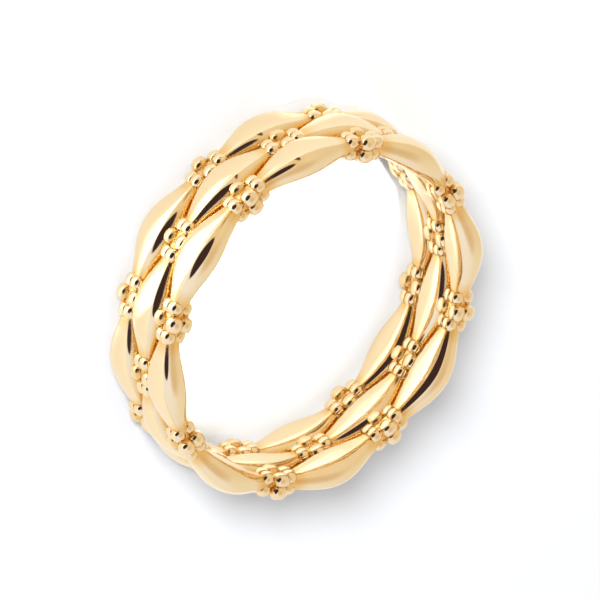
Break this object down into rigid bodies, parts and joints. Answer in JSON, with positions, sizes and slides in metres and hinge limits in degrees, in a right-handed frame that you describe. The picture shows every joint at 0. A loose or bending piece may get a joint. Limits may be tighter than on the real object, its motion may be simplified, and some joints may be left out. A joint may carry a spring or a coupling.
{
  "type": "openwork band ring",
  "caption": "Openwork band ring in yellow gold, with pointed swellings in rows side by side and knots of small round beads nested between them.",
  "frame": {"origin": "middle of the finger hole at the lowest plane of the ring as it lies on its side", "axes": "+Z along the finger axis, from the row that rests on the surface to the row that faces up; +X through a knot of the two outer rows"},
  "size_m": [0.0208, 0.0208, 0.0056],
  "materials": {
    "ring_band": null
  },
  "bodies": {
    "root": {"ring_band": "ring_band"}
  },
  "joints": []
}
